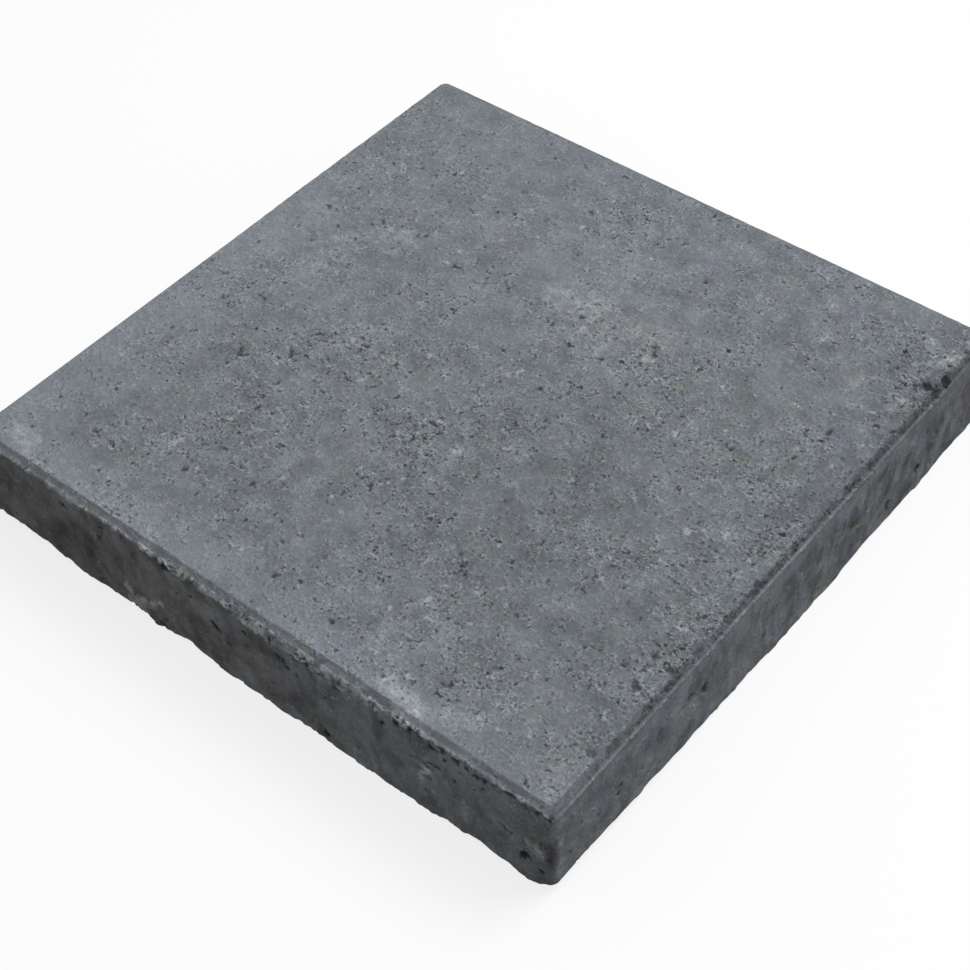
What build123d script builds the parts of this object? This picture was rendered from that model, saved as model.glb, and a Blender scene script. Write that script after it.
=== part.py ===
# A square concrete paving stone, pressed in one piece and laid flat.
# The origin is the middle of the bed face, +Z is up, and lengths are in millimetres.
# The front face looks along -Y and the right face along +X.
import os

from build123d import *

# Sizes of the whole stone
stone_length = 300.0
stone_width = 300.0
stone_thickness = 50.0
corner_radius = 3.5

# The edge that the mould's stamp leaves round the walking face: a bevel, then a flat ledge
bevel_width = 2.0
bevel_height = 2.0
ledge_width = 1.6
stamp_corner_radius = 3.0

# The lower arris has crumbled away in places: the height of each break on its side face
left_break_height = 5.2
middle_break_height = 3.5
near_break_height = 7.2
small_break_height = 3.0
right_break_height = 2.6

# A break falls inwards from the side face, this much down for each unit inwards
break_slope_share = 1.0

# How far cuts run past the faces that they cut
overrun = 4.0

# The line of each break on its side face, chosen by eye: places are shares of the side's length
# from its left end as seen from outside, heights are shares of the break's own height.
front_left_shares = [(-0.02, 1.05), (0.04, 0.97), (0.11, 1.0), (0.145, 0.45), (0.185, -0.1)]
front_second_shares = [(0.185, -0.1), (0.24, 0.68), (0.285, 1.0), (0.33, -0.1)]
front_third_shares = [(0.335, -0.1), (0.365, 0.45), (0.395, 1.0), (0.435, 0.35), (0.475, -0.1)]
front_fourth_shares = [(0.8, -0.1), (0.84, 0.85), (0.863, 0.62), (0.888, 1.0), (0.94, -0.1)]
front_corner_shares = [(0.955, -0.1), (0.98, 0.36), (1.02, 1.4)]
right_corner_shares = [(-0.02, 1.03), (0.1, 0.91), (0.25, 0.62), (0.4, 0.33), (0.53, -0.06)]
right_second_shares = [(0.61, -0.1), (0.643, 1.08), (0.7, 0.75), (0.78, 0.95), (0.835, -0.1)]
right_end_shares = [(0.838, -0.1), (0.875, 0.72), (0.95, 0.78), (1.02, 0.6)]

front_breaks = [
    (left_break_height, front_left_shares),
    (middle_break_height, front_second_shares),
    (middle_break_height, front_third_shares),
    (small_break_height, front_fourth_shares),
    (near_break_height, front_corner_shares),
]
right_breaks = [
    (near_break_height, right_corner_shares),
    (right_break_height, right_second_shares),
    (right_break_height, right_end_shares),
]

# Each side face as a plane whose x runs along the side, y up and z outwards from the stone
front_side = Plane(origin=(-stone_length / 2, -stone_width / 2, 0), x_dir=(1, 0, 0), z_dir=(0, -1, 0))
right_side = Plane(origin=(stone_length / 2, -stone_width / 2, 0), x_dir=(0, 1, 0), z_dir=(1, 0, 0))

ledge_level = stone_thickness - bevel_height
field_length = stone_length - 2 * ledge_width
field_width = stone_width - 2 * ledge_width


with BuildPart() as paving_stone:
    # The pressed block, up to the ledge
    with BuildSketch():
        RectangleRounded(stone_length, stone_width, corner_radius)
    extrude(amount=ledge_level)

    # The walking field stands on the ledge and leans in to the walking face with the stamp's bevel
    with BuildSketch(Plane.XY.offset(ledge_level)):
        RectangleRounded(field_length, field_width, stamp_corner_radius)
    with BuildSketch(Plane.XY.offset(stone_thickness)):
        RectangleRounded(field_length - 2 * bevel_width, field_width - 2 * bevel_width, stamp_corner_radius)
    loft()

    # The crumbled lower arris: each break is a ragged line on the side face, cut inwards and down
    for side, side_length, breaks in (
        (front_side, stone_length, front_breaks),
        (right_side, stone_width, right_breaks),
    ):
        # The cut starts outside the face, as much higher as it falls on its way to the face
        inwards_and_down = -(side.z_dir + side.y_dir * break_slope_share)
        lead = overrun * break_slope_share
        for height, shares in breaks:
            ragged_line = [(place * side_length, rise * height + lead) for place, rise in shares]
            left_foot = (ragged_line[0][0], -overrun)
            right_foot = (ragged_line[-1][0], -overrun)
            reach = 2 * overrun + 2 * height / break_slope_share
            with BuildSketch(side.offset(overrun)):
                with BuildLine():
                    Spline(*ragged_line)
                    Polyline(ragged_line[0], left_foot, right_foot, ragged_line[-1])
                make_face()
            extrude(amount=reach * inwards_and_down.length, dir=inwards_and_down, mode=Mode.SUBTRACT)

paving_stone.part.label = "paving_stone"
os.makedirs("parts", exist_ok=True)
export_step(paving_stone.part, "parts/paving_stone.step")
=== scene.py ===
import math

import bpy
import numpy as np
from mathutils import Matrix, Vector


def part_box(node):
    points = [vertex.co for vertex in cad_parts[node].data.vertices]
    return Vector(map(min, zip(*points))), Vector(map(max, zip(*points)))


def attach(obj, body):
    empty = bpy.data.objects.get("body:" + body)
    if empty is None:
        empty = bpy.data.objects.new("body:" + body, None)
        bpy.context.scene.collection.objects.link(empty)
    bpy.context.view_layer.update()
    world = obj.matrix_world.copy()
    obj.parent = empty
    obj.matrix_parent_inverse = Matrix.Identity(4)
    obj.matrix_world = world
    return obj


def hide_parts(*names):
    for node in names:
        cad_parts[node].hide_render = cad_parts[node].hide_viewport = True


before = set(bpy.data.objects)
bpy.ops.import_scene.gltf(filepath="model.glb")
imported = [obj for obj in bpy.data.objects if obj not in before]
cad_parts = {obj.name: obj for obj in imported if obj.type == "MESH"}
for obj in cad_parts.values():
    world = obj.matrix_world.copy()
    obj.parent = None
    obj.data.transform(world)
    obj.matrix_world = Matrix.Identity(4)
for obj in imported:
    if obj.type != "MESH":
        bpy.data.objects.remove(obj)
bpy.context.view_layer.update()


# Paving stone
# One square slab of grey dry-cast concrete, pressed in a steel mould under a stamp and left to cure.
# The stamp leaves a bevel and a thin crumbly lip round the walking face, the mould leaves streaked
# sides, and the lower arris has crumbled away in places.
MM = 0.001
low, high = (np.array(corner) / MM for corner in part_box("paving_stone"))
half_side = (high[0] - low[0]) / 2
stone_thickness = high[2] - low[2]

# The edge of the walking face, in millimetres
corner_radius = 3.5
stamp_corner_radius = 3.0
bevel_width = 2.0
bevel_height = 2.0
ledge_width = 1.6
ledge_level = stone_thickness - bevel_height
face_edge = half_side - ledge_width - bevel_width

# Fineness of the first, even mesh, before flat stretches are thinned out
arc_cells = 6
straight_cells = 468
side_cells = straight_cells + 2 * arc_cells
ring_size = 4 * side_cells
bevel_rows = 4
wall_rows = 62
break_rows = 6
triangle_budget = 195000


def lattice_noise(points, lump, seed):
    """Smooth noise from -1 to 1 at an array of points, with lumps about that many millimetres across."""
    place = np.asarray(points, float) / lump + 1000.0
    cell = np.floor(place).astype(np.int64)
    part = place - cell
    part = part * part * part * (part * (part * 6 - 15) + 10)
    total = np.zeros(len(place))
    for corner in np.ndindex(2, 2, 2):
        mixed = np.full(len(place), seed * 1013904223, np.int64)
        weight = np.ones(len(place))
        for axis, step in enumerate(corner):
            mixed = (mixed ^ (cell[:, axis] + step) * (374761393, 668265263, 2147483629)[axis]) * 1274126177
            mixed = (mixed ^ (mixed >> 15)) & 0xFFFFFFFF
            weight = weight * (part[:, axis] if step else 1 - part[:, axis])
        total += weight * ((mixed & 0xFFFF) / 32767.5 - 1)
    return total


def ring(inset, radius):
    """The plan outline moved in by inset, counter-clockwise from the middle of the left corner's arc."""
    half = half_side - inset
    bend = half - radius
    rise = np.arange(arc_cells) / arc_cells * math.pi / 4
    first = math.radians(225) + rise
    second = math.radians(270) + rise
    straight = np.linspace(-bend, bend, straight_cells, endpoint=False)
    x = np.concatenate([-bend + radius * np.cos(first), straight, bend + radius * np.cos(second)])
    y = np.concatenate([-bend + radius * np.sin(first), np.full(straight_cells, -half),
                        -bend + radius * np.sin(second)])
    front = np.stack([x, y], -1)
    turns = [np.array([[0, -1], [1, 0]]), np.array([[-1, 0], [0, -1]]), np.array([[0, 1], [-1, 0]])]
    return np.concatenate([front] + [front @ turn.T for turn in turns])


def patch(outline):
    """An even grid of points inside an outline of four like sides, as a Coons patch."""
    cells = len(outline) // 4
    loop = np.concatenate([outline, outline[:1]])
    front, right = loop[:cells + 1], loop[cells:2 * cells + 1]
    back, left = loop[2 * cells:3 * cells + 1][::-1], loop[3 * cells:][::-1]
    u = np.linspace(0, 1, cells + 1)[None, :, None]
    v = np.linspace(0, 1, cells + 1)[:, None, None]
    across = (1 - v) * front[None] + v * back[None]
    along = (1 - u) * left[:, None] + u * right[:, None]
    corners = ((1 - u) * (1 - v) * front[0] + u * (1 - v) * front[-1]
               + (1 - u) * v * back[0] + u * v * back[-1])
    return (across + along - corners).reshape(-1, 2)


def grid_faces(cells, start):
    """Four-sided faces of a square grid of points, counter-clockwise from above."""
    index = start + np.arange((cells + 1) ** 2).reshape(cells + 1, cells + 1)
    corners = [index[:-1, :-1], index[:-1, 1:], index[1:, 1:], index[1:, :-1]]
    return np.stack([corner.ravel() for corner in corners], -1)


def grid_rim(cells, start):
    """A square grid's outer points, in the order of ring()."""
    index = start + np.arange((cells + 1) ** 2).reshape(cells + 1, cells + 1)
    return np.concatenate([index[0, :-1], index[:-1, -1], index[-1, :0:-1], index[:0:-1, 0]])


def level(outline, height):
    """An outline's points at a height, or at one height for each point."""
    return np.column_stack([outline, np.broadcast_to(height, len(outline))])


def each_side(front, right, back, left):
    """One value for each point of a ring, by side, blended round the corners."""
    by_side = np.repeat([front, right, back, left], side_cells).astype(float)
    return np.mean([np.roll(by_side, shift) for shift in range(-arc_cells, arc_cells + 1)], axis=0)


# The crumbled lower arris of the front and the right side: shares of the side's length, millimetres up
front_break = [(0, 5.6), (0.04, 5.0), (0.115, 5.2), (0.14, 2.6), (0.165, 3.4), (0.183, 0.5), (0.24, 2.4),
               (0.285, 3.6), (0.325, 0.3), (0.36, 1.4), (0.378, 3.6), (0.4, 4.2), (0.42, 1.6), (0.475, 0.2),
               (0.8, 0.2), (0.835, 2.5), (0.86, 1.8), (0.888, 3.2), (0.915, 1.0), (0.93, 2.0), (0.955, 0.3),
               (0.975, 1.8), (0.988, 5.4), (1, 6.2)]
right_break = [(0, 6.2), (0.1, 5.6), (0.25, 3.8), (0.4, 1.8), (0.5, 0.3), (0.615, 0.2), (0.64, 1.9),
               (0.667, 2.8), (0.7, 2.6), (0.73, 1.7), (0.77, 2.5), (0.81, 1.2), (0.826, 0.4), (0.842, 0.5),
               (0.87, 1.9), (0.93, 1.7), (1, 1.8)]
plain_break = [(0, 1.0), (1, 1.0)]
lowest_arris = 0.4
outer = ring(0, corner_radius)
outer_points = level(outer, 0)
around = np.linspace(0, 1, side_cells, endpoint=False)
arris = np.concatenate([np.interp(around, *np.array(line).T)
                        for line in (front_break, right_break, plain_break, plain_break)])
raggedness = each_side(front=1.0, right=0.35, back=0.7, left=0.7)
arris += raggedness * (0.5 * lattice_noise(outer_points, 5.0, 1) + 0.3 * lattice_noise(outer_points, 1.8, 2))
arris = np.maximum(arris, lowest_arris)

# The walking face, then rows of points outwards over bevel and ledge and down the wall to the bed
FACE, BEVEL, LEDGE, WALL, BREAK, BED = range(6)
face = patch(ring(ledge_width + bevel_width, stamp_corner_radius))
rows = []
for step in np.arange(1, bevel_rows + 1) / bevel_rows:
    outline = ring(ledge_width + bevel_width * (1 - step), stamp_corner_radius)
    rows.append((outline, stone_thickness - bevel_height * step, BEVEL))

# The ledge's outer edge is worn round. Along the left side, mostly near the front, and at the middle of
# the front it has broken off aslant.
edge_wear = each_side(front=0.8, right=1.0, back=0.3, left=0.6)
left_break_off = each_side(front=0, right=0, back=0, left=2.2)
left_break_off *= 1 + 0.9 * np.clip(-outer[:, 1] / 75, -0.5, 0.6)
front_break_off = each_side(front=1.5, right=0, back=0, left=0)
front_break_off *= np.exp(-((outer[:, 0] - 25) / 60) ** 2)
front_break_share = 0.8
ledge_profile = [(0.75, 0.0), (0.5, 0.03), (0.28, 0.12), (0.1, 0.42), (0.0, 1.0)]
for inset_share, drop in ledge_profile:
    radius = corner_radius + (stamp_corner_radius - corner_radius) * inset_share
    height = (ledge_level - drop * edge_wear - (1 - inset_share) * left_break_off
              - max(1 - inset_share / front_break_share, 0) * front_break_off)
    rows.append((ring(ledge_width * inset_share, radius), height, LEDGE))
wall_top = rows[-1][1]
for step in np.arange(1, wall_rows + 1) / wall_rows:
    rows.append((outer, wall_top + (arris - wall_top) * step, WALL))
break_limit = 8.0
innermost = ring(break_limit, corner_radius / 2)
for step in np.arange(1, break_rows + 1) / break_rows:
    inwards = (arris / break_limit * step)[:, None]
    rows.append((outer + (innermost - outer) * inwards, arris * (1 - step), BREAK))

# The bed, with fewer points, joined to the last row by two rows that halve their number
half_row_inset = break_limit + 2
bed_inset = break_limit + 6
half_row = ring(half_row_inset, corner_radius / 2)[::2]
bed = patch(ring(bed_inset, corner_radius / 2)[::4])
levels = [level(face, stone_thickness)]
levels += [level(outline, height) for outline, height, _ in rows]
points = np.concatenate(levels + [level(half_row, 0), level(bed, 0)])
zone = np.repeat([FACE] + [kind for _, _, kind in rows] + [BED, BED],
                 [len(face)] + [ring_size] * len(rows) + [len(half_row), len(bed)])

loops = [grid_rim(side_cells, 0)]
loops += [len(face) + ring_size * row + np.arange(ring_size) for row in range(len(rows))]
bed_start = len(points) - len(bed)
half_loop = bed_start - len(half_row) + np.arange(len(half_row))
quads = [grid_faces(side_cells, 0), grid_faces(side_cells // 4, bed_start)[:, ::-1]]
for upper, lower in zip(loops, loops[1:]):
    quads.append(np.stack([upper, lower, np.roll(lower, -1), np.roll(upper, -1)], -1))
triangles = []
for wide, narrow in ((loops[-1], half_loop), (half_loop, grid_rim(side_cells // 4, bed_start))):
    even, odd = wide[::2], wide[1::2]
    triangles.append(np.stack([even, narrow, odd], -1))
    triangles.append(np.stack([odd, narrow, np.roll(narrow, -1)], -1))
    triangles.append(np.stack([odd, np.roll(narrow, -1), np.roll(even, -1)], -1))
quads, triangles = np.concatenate(quads), np.concatenate(triangles)

# Each point's outward direction, from the faces round it
outward = np.zeros_like(points)
for corners in (quads, triangles):
    first_diagonal = points[corners[:, 2]] - points[corners[:, 0]]
    second_diagonal = points[corners[:, -1]] - points[corners[:, 1]]
    facing = np.cross(first_diagonal, second_diagonal)
    for corner in corners.T:
        np.add.at(outward, corner, facing)
outward /= np.linalg.norm(outward, axis=1, keepdims=True)

# Where each point lies on the stone
x, y, z = points.T
on_face, on_ledge, on_wall = zone == FACE, zone == LEDGE, zone == WALL
on_front = (y < -face_edge) & (x - y > 0) & (x + y < 0)
on_right = (x > face_edge) & (x + y >= 0) & (x > y)
nothing = np.zeros(len(points))

# The walking face and the four sides in whole millimetres, for the places of marks and chips
top = round(stone_thickness)
right = back = round(half_side)
left = front = -right


def noise(lump, seed):
    """The smooth noise at the points of the stone."""
    return lattice_noise(points, lump, seed)


# The places of marks and chips are shifted a little here and there, which makes their outlines ragged
shifts = [1.6 * noise(3.2, seed) + 0.9 * noise(1.4, seed + 3) for seed in (51, 52, 53)]
ragged = points + np.stack(shifts, -1)


def marked(lines):
    """How strongly each point carries marks, each a line from start to end with a width and a strength."""
    total = np.zeros(len(points))
    for start, end, width, strength in lines:
        run = np.subtract(end, start)
        along = np.clip((ragged - start) @ run / max(run @ run, MM), 0, 1)
        away = ragged - start - along[:, None] * run
        total += strength * np.exp(-np.sum(away ** 2, axis=1) / width ** 2)
    return np.clip(total, 0, 1)


# Laitance, a smooth pale skin of cement, lies in bands along the front and left edges of the walking face,
# on the upper part of the right wall, in spots on the front wall, and thinly all over the other two walls
from_front = y + face_edge
from_left = x + face_edge
front_band = (11 + 7 * noise(45.0, 11) + 3 * noise(9.0, 12)
              + 14 * np.exp(-(from_left / 45) ** 2) + 9 * np.exp(-((x - face_edge) / 22) ** 2))
left_band = 22 * np.exp(-(from_front / 30) ** 2) + 3 * noise(12.0, 13)
front_edge_skin = 1.35 - from_front / front_band
left_edge_skin = 1.2 - from_left / np.maximum(left_band, 0.1)
face_skin = np.clip(np.maximum(front_edge_skin, left_edge_skin), 0, 1)
left_skin = 0.9 * np.exp(-(from_left / 26) ** 2) * np.clip((90 - y) / 60, 0, 1)
face_skin = np.maximum(face_skin, left_skin)
dry_corner = np.exp(-((x + 100) ** 2 + (y - 110) ** 2) / 95 ** 2)
right_skin = np.clip((z - 37 + 5 * noise(14.0, 14)) / 6, 0, 1)
right_skin = np.maximum(right_skin, 0.45 * np.clip(0.5 - y / 60, 0, 1))
front_skin = (0.3 * np.clip((x + 30) / 120, 0, 1) + 1.2 * np.clip(noise(11.0, 15), 0, 1)
              + 0.5 * np.clip(noise(5.0, 16), 0, 1))
front_skin *= np.clip((148 - x) / 25, 0, 1) * np.clip(0.5 + (x + 150) / 240, 0, 1)
hidden_skin = np.clip(0.6 + 0.5 * noise(14.0, 17), 0, 1)
wall_skin = np.where(on_front, np.clip(front_skin, 0, 1), np.where(on_right, right_skin, hidden_skin))
laitance = on_face * np.maximum(face_skin, 0.35 * dry_corner) + on_wall * wall_skin

# Elsewhere the face is torn open in patches, most along the right edge
torn_patches = [((-104, -122, top), (-78, -116, top), 13, 0.5), ((53, -1, top), (53, -1, top), 17, 0.4),
                ((39, 53, top), (39, 53, top), 11, 0.5), ((-40, -35, top), (20, -25, top), 20, 0.3),
                ((140, -88, top), (140, -70, top), 11, 0.8), ((144, -20, top), (144, 70, top), 8, 0.6),
                ((140, 100, top), (144, 116, top), 14, 0.9)]
torn = (0.45 + 0.3 * noise(24.0, 21) + 0.3 * noise(8.0, 22)
        + 0.6 * marked(torn_patches) - 0.2 * laitance - 0.2 * dry_corner)
torn_bevel = np.clip((y + 132) / 35, 0, 1) * torn
torn_wall = np.where(on_right, 0.1, 0.4) * torn
torn = np.choose(zone, [torn, torn_bevel, 0.5 * torn, torn_wall, 0.4 * torn, 0.4 * torn])
torn = np.clip(torn, 0, 1)

# The lip along the front: pale crumbs on the ledge and some way down the wall, with voids below them
below_ledge = ledge_level - z
lip_reach = (1.4 + 4.8 * np.exp(-((x - 32) / 55) ** 2) + 0.9 * np.exp(-((x + 125) / 30) ** 2)
             + 1.2 * noise(7.0, 61) + 0.9 * noise(2.6, 62))
lip_reach = np.maximum(lip_reach, 0.4)
lip = np.clip((lip_reach - below_ledge) / 1.2 + 0.2, 0, 1) * np.clip(0.8 + 0.7 * noise(5.5, 68), 0.15, 1)
lip *= (on_front & (on_ledge | on_wall)) * (1 - 0.35 * np.clip((x - 82) / 15, 0, 1))
lip *= 1 - 0.25 * np.clip((-30 - x) / 30, 0, 1)
torn = np.maximum(torn, lip)

# Hollows where sand was torn out of the face, air voids in the walls, and rows of voids below the front lip
grain = 0.6 * noise(2.3, 31) + 0.4 * noise(1.15, 32)
gravel = 0.6 * noise(3.6, 33) + 0.4 * noise(1.7, 34)
right_wear = on_right * np.exp(-((face_edge - x) / 4) ** 2) * (z > ledge_level + 0.5)
face_hollow = np.maximum(0.5 * np.clip((-grain - 0.64 + 0.22 * torn) / 0.25, 0, 1),
                         0.85 * np.clip((-gravel - 0.65 + 0.2 * torn + 0.23 * right_wear) / 0.2, 0, 1))
lip_weakness = on_front * np.exp(-((below_ledge - lip_reach - 0.6) / 1.4) ** 2)
lip_weakness *= np.clip(0.4 + 0.004 * x + 0.6 * noise(11.0, 35), 0, 1)
wall_roughness = np.where(on_right, np.clip((41 - z) / 10, 0.2, 1), 1)
wall_hollow = 1.3 * np.clip((-gravel - 0.56 + 0.4 * lip_weakness + 0.14 * noise(28.0, 36)) / 0.16, 0, 1)
wall_hollow *= np.maximum(wall_roughness, lip_weakness) * np.where(on_right, 0.55, 1)
hollow = np.choose(zone, [face_hollow, 0.7 * face_hollow, 0.5 * face_hollow,
                          wall_hollow, 0.6 * wall_hollow, nothing])

# Chips out of the right edge, larger voids below the front lip, and voids in the walls: middle, radius, depth
edge_chips = [((145, -75, top), 3.2, 0.7), ((145.5, -22, top), 3.2, 0.8), ((147.5, 39, 49), 2.8, 0.9),
              ((148.5, 57, 48.8), 2.8, 0.9), ((148, 115, 49), 4.0, 1.3), ((148, 105, 49), 2.8, 0.9),
              ((144, 107, top), 3.2, 1.1), ((137, -73, top), 3.2, 0.8), ((139, -87, top), 2.8, 0.8),
              ((143, -121, top), 2.8, 0.7), ((146, 76, 49.5), 2.6, 0.8)]
lip_voids = [((100, front, 44.5), 2.4, 0.9), ((107, front, 44), 3.2, 1.0), ((112, front, 44), 2.0, 0.8),
             ((119, front, 44), 3.0, 1.0), ((124, front, 44.5), 2.2, 0.9), ((132, front, 46.5), 2.4, 0.9),
             ((138, front, 46), 2.4, 1.0), ((142, front, 46.5), 3.2, 1.2), ((147, front, 46.5), 2.6, 1.0),
             ((79, front, 45), 2.4, 1.8), ((85, front, 44.5), 2.4, 1.8), ((95, front, 44.5), 2.4, 1.8),
             ((36, front, 44), 2.4, 1.6), ((31, front, 44.5), 2.0, 1.5), ((18, front, 44), 2.2, 1.5),
             ((-37, front, 45), 2.0, 1.4), ((-62, front, 45), 2.2, 1.5)]
wall_voids = [((136, front, 14), 3.4, 2.4), ((144, front, 10), 2.4, 1.8), ((91, front, 13), 2.6, 1.6),
              ((24, front, 34), 2.4, 1.6), ((30, front, 31), 2.0, 1.4), ((42, front, 5), 3.0, 1.8),
              ((-13, front, 26), 2.8, 1.6), ((-95, front, 41), 2.4, 1.6), ((-74, front, 42), 2.4, 1.6),
              ((-77, front, 34), 2.4, 1.4), ((-56, front, 3), 4.0, 2.4), ((-46, front, 3), 3.4, 2.0),
              ((right, 97, 13), 3.4, 1.2), ((right, 72, 12), 2.6, 0.8), ((right, -21, 17), 2.4, 0.8),
              ((right, -59, 27), 2.4, 0.8), ((right, -69, 31), 2.2, 0.7), ((right, -112, 22), 2.6, 0.9),
              ((right, -99, 20), 2.0, 0.6)]
for middle, radius, depth in edge_chips + lip_voids + wall_voids:
    broken = np.exp(-np.sum((ragged - middle) ** 2, axis=1) / radius ** 2)
    hollow = np.maximum(hollow, depth * np.clip((broken - 0.45 - 0.5 * gravel) / 0.3, 0, 1))

# Relief, in millimetres along each point's outward direction
rolling = 0.25 * noise(55.0, 41) + 0.1 * noise(14.0, 42)
lumps = 0.35 * noise(10.0, 43) + 0.25 * noise(4.5, 44)
crumbs = 0.8 * noise(2.6, 46) + 0.4 * noise(1.4, 47)
edge_crumbs = crumbs + 0.5 * noise(4.5, 45)
# Painted shade in the gaps between the lip's crumbs, where their relief sinks in
lip_gap_shade = lip * np.clip((-crumbs - 0.25) / 0.3, 0, 0.8) * np.where(on_ledge, 0.35, 1)
crumb_size = np.where(on_front, 0.6, 0.12)
spall_lines = [((-64, front, 16), (-60, front, 9), 1.9, 1.0), ((-62, front, 7), (-56, front, 8), 2.8, 1.0),
               ((-57, front, 11), (-50, front, 13), 2.0, 1.0), ((-50, front, 14), (-42, front, 18), 1.5, 0.8)]
spall_edge = np.clip((marked(spall_lines) - 0.3) / 0.3, 0, 1)
wall_relief = 0.7 * rolling + wall_roughness * lumps + 1.2 * lip * crumbs + 1.2 * spall_edge
rough_break = 0.6 * noise(3.0, 48)
relief = np.choose(zone, [rolling, 0.5 * rolling, crumb_size * edge_crumbs,
                          wall_relief, rough_break, nothing])
shaped = points + outward * (relief - hollow)[:, None]
shaped[:, 2] = np.maximum(shaped[:, 2], 0)

# Whitish bloom: broad and faint on the face, then small and strong, then on the front and right walls
bloom_marks = [((-130, 60, top), (-130, -66, top), 16, 0.1), ((-103, 22, top), (-100, 2, top), 12, 0.2),
               ((-76, -10, top), (-49, -10, top), 12, 0.14), ((5, 46, top), (28, 46, top), 11, 0.13),
               ((-136, -122, top), (-136, -122, top), 9, 0.2), ((-128, -144, top), (-52, -144, top), 5, 0.14),
               ((0, 96, top), (4, 76, top), 15, 0.12), ((50, -118, top), (84, -118, top), 14, 0.08),
               ((66, -141, top), (86, -145, top), 2.4, 1.0), ((53, -130, top), (61, -133, top), 1.2, 0.5),
               ((88, -141, top), (104, -137, top), 3.5, 0.5), ((106, -125, top), (108, -123, top), 1.6, 0.8),
               ((119, -107, top), (120, -105, top), 1.6, 0.6), ((-12, 60, top), (8, 62, top), 7, 0.3),
               ((-95, 48, top), (-83, 48, top), 6, 0.25), ((124, 131, top), (134, 129, top), 2.2, 0.5),
               ((143, 124, top), (146, 126, top), 2.4, 0.9), ((143, 129, top), (145, 131, top), 2.0, 0.5),
               ((-136, -137, top), (-121, -139, top), 2.5, 0.7),
               ((137, -130, top), (139, -128, top), 1.8, 0.5), ((141, -144, top), (143, -142, top), 3, 0.2),
               ((141, front, 24), (144, front, 22), 2.4, 1.6), ((92, front, 29), (90, front, 20), 1.1, 2.0),
               ((9, front, 45.5), (17, front, 43.5), 1.6, 0.6), ((20, front, 40), (24, front, 38), 7, 0.12),
               ((100, front, 39), (104, front, 39), 6, 0.12),
               ((right, -146.5, 44), (right, -146.5, 8), 2.0, 0.55)]
bloom = np.maximum(marked(bloom_marks), 0.45 * spall_edge)

# Pale beige scrapes on the face
warm_marks = [((117, 88, top), (121, 96, top), 0.9, 0.7), ((138, 84, top), (140, 95, top), 0.8, 0.55),
              ((20, 58, top), (42, 62, top), 10, 0.12), ((-51, 74, top), (-47, 74, top), 3, 0.3),
              ((132, -138, top), (140, -134, top), 5, 0.1)]
warm = np.maximum(marked(warm_marks), 0.4 * spall_edge)

# Darker soil on the walls, most of it at the left of the front
soil_marks = [((left, front, 10), (-110, front, 25), 22, 0.7), ((-100, front, 4), (-20, front, 4), 12, 0.5),
              ((-100, front, 14), (-82, front, 10), 13, 0.9), ((-55, front, 36), (-25, front, 34), 12, 0.3),
              ((right, 140, 20), (right, 140, 40), 12, 0.7), ((right, 85, 47), (right, back, 46), 5, 0.6),
              ((right, 82, 43), (right, 130, 43), 5, 0.3), ((right, 40, 47.3), (right, 92, 47.3), 1.2, 0.8),
              ((right, -145, 44), (right, -137, 36), 7, 0.35)]
front_soil = 0.8 - 0.005 * x + 0.8 * noise(13.0, 67) + 0.5 * noise(6.0, 69)
soil = np.clip(marked(soil_marks) + front_soil * (on_front & on_wall), 0, 1)

# Dull darker stretches: patches of the face and its right edge, the right bevel, the ledge, parts of the
# walls
from_right = face_edge - x
dull_marks = [((58, 0, top), (66, -80, top), 24, 0.28), ((136, 27, top), (136, 27, top), 14, 0.25),
              ((118, 130, top), (130, 110, top), 16, 0.15), ((144, 98, top), (147, 119, top), 4, 0.5),
              ((8, -10, top), (28, -12, top), 12, 0.25), ((30, -66, top), (22, -86, top), 13, 0.16),
              ((86, 46, top), (86, 46, top), 12, 0.22), ((113, -66, top), (113, -94, top), 12, 0.22),
              ((143, 0, top), (143, 40, top), 8, 0.28), ((143, 60, top), (143, 85, top), 8, 0.22),
              ((143, -118, top), (143, -98, top), 7, 0.25), ((95, -143, top), (125, -143, top), 6, 0.25),
              ((-8, -143, top), (12, -143, top), 6, 0.15)]
dull_reach = np.maximum(-0.9 + 2.4 * noise(6.0, 63) + 1.8 * noise(2.4, 64), 0.05)
dull_face = (0.5 * np.clip(1.2 - from_right / dull_reach, 0, 1) + 0.12 * np.exp(-(from_right / 70) ** 2)
             + marked(dull_marks))
dull_bevel = (1.1 + 0.3 * np.clip((y + 40) / 60, 0, 1) + 0.2 * np.clip((-60 - y) / 40, 0, 1)
              + 0.35 * noise(8.0, 70) + 0.4 * noise(3.0, 65))
dull_bevel *= 0.65 + 0.35 * np.clip((y + 142) / 20, 0, 1)
dull_bevel *= np.clip((stone_thickness - z) / 0.8, 0, 1)
other_bevels = 0.1 + 0.2 * np.clip((x - 80) / 50, 0, 1)
dull_bevel = np.where(on_right, np.clip(dull_bevel, 0.1, 1.4), other_bevels)
dull_ledge = np.clip((half_side - x - 0.6) / 0.5 + 0.8 * noise(9.0, 66), 0.15, 0.8) * on_right
dull_ledge += 0.45 * on_front * np.clip((x - 82) / 15, 0, 1)
dull_ledge += 0.3 * on_front * np.clip((-45 - x) / 20, 0, 1)
darker_wall_patches = [((-106, front, 12), (-86, front, 10), 10, 0.7), ((-36, front, 10), (-36, front, 10), 8, 0.3),
              ((-125, front, 28), (-62, front, 26), 16, 0.13), ((128, front, 38), (143, front, 12), 11, 0.25),
              ((145, front, 42), (145, front, 6), 6, 0.65), ((right, -142, 40), (right, -126, 32), 9, 0.22),
              ((100, front, 20), (100, front, 20), 8, 0.3), ((60, front, 10), (60, front, 10), 7, 0.25),
              ((right, 90, 44), (right, 135, 43), 6, 0.3), ((right, -142, 36), (right, -140, 24), 7, 0.3),
              ((right, -100, 20), (right, 0, 19), 6, 0.12)]
dull_wall = marked(darker_wall_patches)
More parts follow.
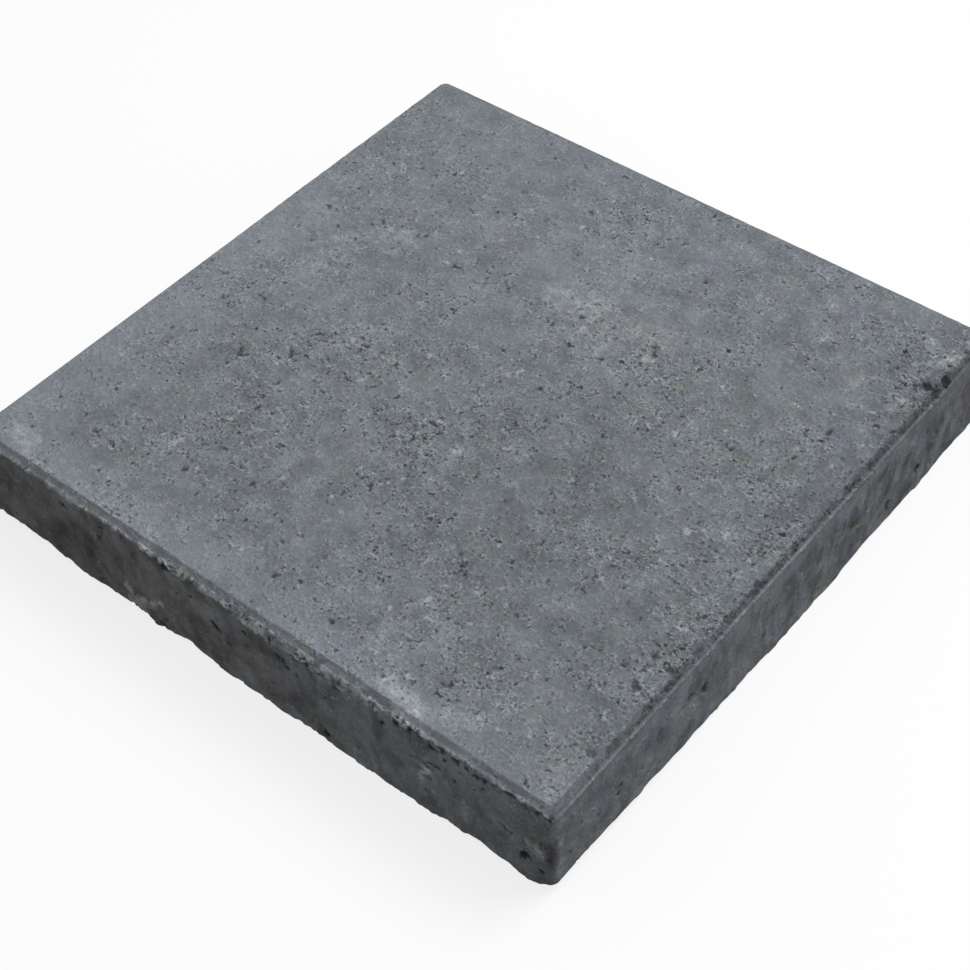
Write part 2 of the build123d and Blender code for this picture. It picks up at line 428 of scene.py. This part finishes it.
dull = np.choose(zone, [dull_face, dull_bevel, dull_ledge, dull_wall, dull_wall, nothing])

# Painted shade in every hollow, stronger in some zones than others, and in the gaps between the lip's crumbs
hollow_shade = np.choose(zone, [0.85, 0.6, 0.7, 1, 1, 1])
shade = np.maximum(np.clip(hollow * hollow_shade, 0, 1), lip_gap_shade)
# Pale crumbs on the lip, with painted highlight where they stand out, and in two spots of the front wall
pale_lip_highlight = lip * np.clip(0.3 + 0.6 * np.exp(-((x - 30) / 60) ** 2) + 1.8 * crumbs, 0, 1)
pale_spots = [((141, front, 24), (144, front, 22), 2.0, 0.8), ((92, front, 29), (90, front, 20), 0.9, 1.0)]
pale_crumbs_highlight = np.maximum(pale_lip_highlight, marked(pale_spots))

# The mesh carries these masks to the material, three in each colour attribute
mesh = bpy.data.meshes.new("paving_stone_even")
mesh.from_pydata((shaped * MM).tolist(), [], quads.tolist() + triangles.tolist())
full = np.ones(len(points))
for name, channels in (("shade_torn_crumbs", (shade, torn, pale_crumbs_highlight)),
                       ("skin", (laitance, bloom, warm)),
                       ("sides", (on_wall | (zone == BREAK), soil, dull))):
    mask = mesh.attributes.new(name, "FLOAT_COLOR", "POINT")
    mask.data.foreach_set("color", np.column_stack([*channels, full]).astype(np.float32).ravel())
stone = bpy.data.objects.new("paving_stone_cast", mesh)
bpy.context.scene.collection.objects.link(stone)
thin = stone.modifiers.new("thin", "DECIMATE")
thin.ratio = triangle_budget / (2 * len(quads) + len(triangles))
thinned = bpy.data.meshes.new_from_object(stone.evaluated_get(bpy.context.evaluated_depsgraph_get()))
stone.modifiers.clear()
stone.data = thinned
thinned.shade_smooth()


def linear(hex_colour):
    """An sRGB hex colour as linear red, green, blue and alpha."""
    channels = [int(hex_colour[at:at + 2], 16) / 255 for at in (1, 3, 5)]
    return tuple(c / 12.92 if c <= 0.04045 else ((c + 0.055) / 1.055) ** 2.4 for c in channels) + (1.0,)


def add_node(tree, kind, inputs, output=0, **settings):
    """Adds a node of a kind with its settings and inputs, links or values, and gives one of its outputs."""
    node = tree.nodes.new("ShaderNode" + kind)
    for name, value in settings.items():
        setattr(node, name, value)
    for socket, value in inputs.items():
        if isinstance(value, bpy.types.NodeSocket):
            tree.links.new(value, node.inputs[socket])
        else:
            node.inputs[socket].default_value = value
    return node.outputs[output] if node.outputs else None


# Dry-cast concrete: a matt blue-grey cement paste full of sand. To the eye it is a fine salt and pepper
# of pale grains and torn-out pits in painted shade, in smoother and coarser patches, with a paler skin in
# places.
concrete = bpy.data.materials.new("dry_cast_concrete")
concrete.use_nodes = True
tree = concrete.node_tree
tree.nodes.clear()
place = add_node(tree, "TexCoord", {}, "Object")
place = add_node(tree, "VectorMath", {0: place, "Scale": 1 / MM}, operation="SCALE")
masks = {}
for name in ("shade_torn_crumbs", "skin", "sides"):
    mask = add_node(tree, "Attribute", {}, attribute_name=name)
    masks[name] = add_node(tree, "SeparateColor", {0: mask}).node.outputs
# The first mask holds painted shade, the torn patches, and pale crumbs with painted highlight
painted_hollow_shade, torn_open, pale_crumb_highlight_mask = masks["shade_torn_crumbs"]
skinned, bloomed, warmed = masks["skin"]
walled, soiled, dulled = masks["sides"]

# Sizes of the patterns, in millimetres
mottle_size = 9.0
cast_size = 6.5
smear_size = 8.5
plate_size = 4.5
pit_size = 5.5
knob_size = 4.0
sand_size = 1.6
grain_size = 1.0
cast_seed = 3.0
knob_seed = 7.0

# The paste: mottled, with a faint greenish and violet cast that changes from place to place, most on the
# walls. The walls are darker and soiled, in soft patches that the mould has drawn out a little upwards.
mottle = add_node(tree, "TexNoise", {"Vector": place, "Scale": 1 / mottle_size, "Detail": 4})
mottle = add_node(tree, "MapRange", {0: mottle, 1: 0.3, 2: 0.7})
cast = add_node(tree, "TexNoise", {"Vector": place, "Scale": 1 / cast_size, "Detail": 3, "W": cast_seed},
                noise_dimensions="4D")
cast_share = add_node(tree, "Math", {0: walled, 1: 0.67, 2: 0.33}, operation="MULTIPLY_ADD")
greenish = add_node(tree, "MapRange", {0: cast, 1: 0.51, 2: 0.69, 4: cast_share})
violet = add_node(tree, "MapRange", {0: cast, 1: 0.49, 2: 0.31, 4: cast_share})
wall_share = add_node(tree, "Math", {0: walled, 1: 0.42}, operation="MULTIPLY")
soil_share = add_node(tree, "Math", {0: soiled, 1: 0.6}, operation="MULTIPLY")
colour = linear("#686d73")
for share, tint in ((mottle, "#82888e"), (greenish, "#727a6b"), (violet, "#777284"),
                    (wall_share, "#595d60"), (soil_share, "#53504a")):
    colour = add_node(tree, "Mix", {0: share, 6: colour, 7: linear(tint)}, 2, data_type="RGBA")
drawn_out = add_node(tree, "VectorMath", {0: place, 1: (1, 1, 0.6)}, operation="MULTIPLY")
smear = add_node(tree, "TexNoise", {"Vector": drawn_out, "Scale": 1 / smear_size, "Detail": 3,
                                    "Distortion": 0.6})
smear = add_node(tree, "MapRange", {0: smear, 1: 0.3, 2: 0.7, 3: 0.38, 4: 1.62})
smear = add_node(tree, "Mix", {0: walled, 2: 1.0, 3: smear})
colour = add_node(tree, "VectorMath", {0: colour, "Scale": smear}, operation="SCALE")

# The skin, the bloom and the beige scrapes, the last two broken up by small plates of smooth paste
plates = add_node(tree, "TexNoise", {"Vector": place, "Scale": 1 / plate_size, "Detail": 2, "Roughness": 0.6})
broken_up = add_node(tree, "MapRange", {0: plates, 1: 0.36, 2: 0.56, 3: 0.35})
skin_share = add_node(tree, "Math", {0: skinned, 1: 0.5}, operation="MULTIPLY")
bloom_share = add_node(tree, "Math", {0: bloomed, 1: broken_up}, operation="MULTIPLY")
scrape_share = add_node(tree, "Math", {0: warmed, 1: broken_up}, operation="MULTIPLY")
for share, tint in ((skin_share, "#868d95"), (bloom_share, "#b4babf"), (scrape_share, "#b3aa9c")):
    colour = add_node(tree, "Mix", {0: share, 6: colour, 7: linear(tint)}, 2, data_type="RGBA")

# Sand: each grain a little darker or lighter. It lies bare where the face is torn and between the plates.
sand = add_node(tree, "TexNoise", {"Vector": place, "Scale": 1 / sand_size, "Detail": 2, "Roughness": 0.62})
grains = add_node(tree, "TexNoise", {"Vector": place, "Scale": 1 / grain_size, "Detail": 1, "Roughness": 0.6})
bare_low = 1.5
bare_high = 2.5
bare = add_node(tree, "Math", {0: plates, 1: 3.0, 2: torn_open}, operation="MULTIPLY_ADD")
openness = add_node(tree, "MapRange", {0: bare, 1: bare_low, 2: bare_high, 3: -0.06, 4: 0.07})
strength = add_node(tree, "MapRange", {0: bare, 1: bare_low, 2: bare_high, 3: 0.5, 4: 1.6})
# The tone follows the bump's height below: partly painted shade on low grains and painted highlight on high
# ones
tone = add_node(tree, "Math", {0: sand, 1: grains}, operation="ADD")
tone = add_node(tree, "Math", {0: tone, 1: -1.0}, operation="ADD")
tone = add_node(tree, "Math", {0: tone, 1: strength, 2: 0.89}, operation="MULTIPLY_ADD")
tone = add_node(tree, "Math", {0: plates, 1: 0.22, 2: tone}, operation="MULTIPLY_ADD")
colour = add_node(tree, "VectorMath", {0: colour, "Scale": tone}, operation="SCALE")

# Between the grains: pale grains and knobs, pale crumbs, and painted shade in pits, gaps and each hollow
pale = add_node(tree, "Math", {0: grains, 1: openness}, operation="ADD")
pale = add_node(tree, "MapRange", {0: pale, 1: 0.65, 2: 0.79, 4: 0.7}, interpolation_type="SMOOTHSTEP")
lumpy = add_node(tree, "TexNoise", {"Vector": place, "Scale": 1 / knob_size, "Detail": 3, "W": knob_seed},
                 noise_dimensions="4D")
knobs = add_node(tree, "Math", {0: lumpy, 1: openness}, operation="ADD")
knobs = add_node(tree, "MapRange", {0: knobs, 1: 0.64, 2: 0.76, 4: 0.75}, interpolation_type="SMOOTHSTEP")
# Painted shade in small pits, which the bump below also sinks into the face
pits = add_node(tree, "TexNoise", {"Vector": place, "Scale": 1 / pit_size, "Detail": 4, "Roughness": 0.75})
pits = add_node(tree, "Math", {0: pits, 1: openness}, operation="SUBTRACT")
pits = add_node(tree, "MapRange", {0: pits, 1: 0.355, 2: 0.275}, interpolation_type="SMOOTHSTEP")
pit_shade_share = add_node(tree, "Math", {0: pits, 1: 0.85}, operation="MULTIPLY")
# Painted shade in the gaps between sand grains, which the bump below also sinks
gaps = add_node(tree, "Math", {0: sand, 1: openness}, operation="SUBTRACT")
gaps = add_node(tree, "MapRange", {0: gaps, 1: 0.36, 2: 0.26}, interpolation_type="SMOOTHSTEP")
gap_shade_share = add_node(tree, "Math", {0: gaps, 1: 0.7}, operation="MULTIPLY")
# The pale crumbs, partly painted highlight: paler where the lip's crumbs stand out
crumb = add_node(tree, "Math", {0: lumpy, 1: sand}, operation="ADD")
crumb = add_node(tree, "MapRange", {0: crumb, 1: 0.88, 2: 1.02, 4: 0.95})
pale_crumb_highlight_share = add_node(tree, "Math", {0: crumb, 1: pale_crumb_highlight_mask}, operation="MULTIPLY")
# Painted shade in each hollow of the mesh, ragged at its edge by the sand
ragged_hollow_shade = add_node(tree, "Math", {0: sand, 1: 0.8, 2: painted_hollow_shade}, operation="MULTIPLY_ADD")
ragged_hollow_shade = add_node(tree, "MapRange", {0: ragged_hollow_shade, 1: 0.62, 2: 1.25, 4: 0.9})
for share, tint in ((pale, "#a9adb0"), (knobs, "#aaaeb1"), (pit_shade_share, "#2f3336"), (gap_shade_share, "#44484c"),
                    (pale_crumb_highlight_share, "#b9bcbd"), (ragged_hollow_shade, "#282b2d")):
    colour = add_node(tree, "Mix", {0: share, 6: colour, 7: linear(tint)}, 2, data_type="RGBA")

# The dull stretches are darker, a little less so on the sand grains
dull_grain = add_node(tree, "MapRange", {0: sand, 1: 0.35, 2: 0.62, 3: -0.54, 4: -0.4})
dull_tone = add_node(tree, "Math", {0: dulled, 1: dull_grain, 2: 1.0}, operation="MULTIPLY_ADD")
colour = add_node(tree, "VectorMath", {0: colour, "Scale": dull_tone}, operation="SCALE")

# The grit that the mesh is too coarse for, in millimetres: higher where sand lies bare, lower on the walls
fine_grit = add_node(tree, "Math", {0: grains, 1: 0.35}, operation="MULTIPLY")
grit = add_node(tree, "Math", {0: sand, 1: 0.8, 2: fine_grit}, operation="MULTIPLY_ADD")
grit = add_node(tree, "Math", {0: gaps, 1: -0.25, 2: grit}, operation="MULTIPLY_ADD")
grit = add_node(tree, "Math", {0: pits, 1: -0.5, 2: grit}, operation="MULTIPLY_ADD")
bare_grit = add_node(tree, "MapRange", {0: bare, 1: bare_low, 2: bare_high, 3: 0.3, 4: 1.15})
grit = add_node(tree, "Math", {0: grit, 1: bare_grit}, operation="MULTIPLY")
wall_grit = add_node(tree, "MapRange", {0: walled, 3: 1.0, 4: 0.6})
grit = add_node(tree, "Math", {0: grit, 1: wall_grit}, operation="MULTIPLY")
bump = add_node(tree, "Bump", {"Height": grit, "Strength": 1.0, "Distance": MM})
surface = add_node(tree, "BsdfPrincipled", {"Base Color": colour, "Roughness": 0.92, "IOR": 1.5,
                                            "Specular IOR Level": 0.3, "Normal": bump})
add_node(tree, "OutputMaterial", {"Surface": surface})
stone.data.materials.clear()
stone.data.materials.append(concrete)
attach(stone, "root")
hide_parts("paving_stone")


# Floor
# A plain white studio floor of paper, laid out level and wide enough to fill the view.
# The stone lies on it with its bed face, and the paper takes the stone's soft shadow.
floor_half = 4.0
floor_corners = [(-floor_half, -floor_half, 0), (floor_half, -floor_half, 0),
                 (floor_half, floor_half, 0), (-floor_half, floor_half, 0)]
floor_mesh = bpy.data.meshes.new("floor")
floor_mesh.from_pydata(floor_corners, [], [(0, 1, 2, 3)])
floor = bpy.data.objects.new("floor", floor_mesh)
bpy.context.scene.collection.objects.link(floor)

# White paper, which shows white but sends little light back up on the stone's sides
paper = bpy.data.materials.new("white_paper")
paper.use_nodes = True
tree = paper.node_tree
tree.nodes.clear()
rays = add_node(tree, "LightPath", {}).node.outputs
mirrored = add_node(tree, "Math", {0: rays["Is Glossy Ray"], 1: rays["Is Transmission Ray"]},
                    operation="MAXIMUM")
shown = add_node(tree, "Math", {0: rays["Is Camera Ray"], 1: mirrored}, operation="MAXIMUM")
shade_share = 0.22
glow = add_node(tree, "Emission", {"Color": linear("#ffffff")})
shaded = add_node(tree, "BsdfDiffuse", {"Color": linear("#ffffff")})
white = add_node(tree, "MixShader", {0: shade_share, 1: glow, 2: shaded})
dim = add_node(tree, "BsdfDiffuse", {"Color": linear("#66625e")})
add_node(tree, "OutputMaterial", {"Surface": add_node(tree, "MixShader", {0: shown, 1: dim, 2: white})})
floor_mesh.materials.append(paper)


# Light
# An even studio sky, dimmer on the stone than it shows behind it, as under a bright overcast sky.
# One wide soft lamp stands behind the stone on the right, which leaves the front side the darkest.
world = bpy.data.worlds.new("studio")
bpy.context.scene.world = world
world.use_nodes = True
tree = world.node_tree
tree.nodes.clear()
rays = add_node(tree, "LightPath", {}).node.outputs
mirrored = add_node(tree, "Math", {0: rays["Is Glossy Ray"], 1: rays["Is Transmission Ray"]},
                    operation="MAXIMUM")
shown = add_node(tree, "Math", {0: rays["Is Camera Ray"], 1: mirrored}, operation="MAXIMUM")
sky_level = 0.5
sky = add_node(tree, "Background", {"Color": linear("#ffffff"), "Strength": sky_level})
backdrop = add_node(tree, "Background", {"Color": linear("#ffffff")})
add_node(tree, "OutputWorld", {"Surface": add_node(tree, "MixShader", {0: shown, 1: sky, 2: backdrop})})

lamp = bpy.data.lights.new("wide_lamp", "AREA")
lamp.size = 1.0
lamp.energy = 19.0
lamp_direction = Vector((0.38, 0.49, 1.0)).normalized()
lamp_distance = 1.8
wide_lamp = bpy.data.objects.new("wide_lamp", lamp)
turned = lamp_direction.to_track_quat("Z", "Y").to_matrix().to_4x4()
wide_lamp.matrix_world = Matrix.Translation(lamp_direction * lamp_distance) @ turned
bpy.context.scene.collection.objects.link(wide_lamp)


# Camera
# A still camera that looks down on the stone from in front of its near right corner.
# Its place, turn and lens were fitted to the edges of the stone in the photo. Distances are millimetres.
camera_azimuth = math.radians(40.716)
camera_elevation = math.radians(47.495)
camera_roll = math.radians(-2.225)
camera_distance = 742.4
camera_aim = Vector((35.51, -45.78, 50.0))
backwards = Vector((math.sin(camera_azimuth) * math.cos(camera_elevation),
                    -math.cos(camera_azimuth) * math.cos(camera_elevation), math.sin(camera_elevation)))
camera_data = bpy.data.cameras.new("camera")
camera_data.sensor_width = 36.0
camera_data.lens = 70.666
camera = bpy.data.objects.new("camera", camera_data)
turned = backwards.to_track_quat("Z", "Y").to_matrix().to_4x4() @ Matrix.Rotation(camera_roll, 4, "Z")
camera.matrix_world = Matrix.Translation((camera_aim + backwards * camera_distance) * MM) @ turned
bpy.context.scene.collection.objects.link(camera)
bpy.context.scene.camera = camera
bpy.context.scene.view_settings.view_transform = "Standard"
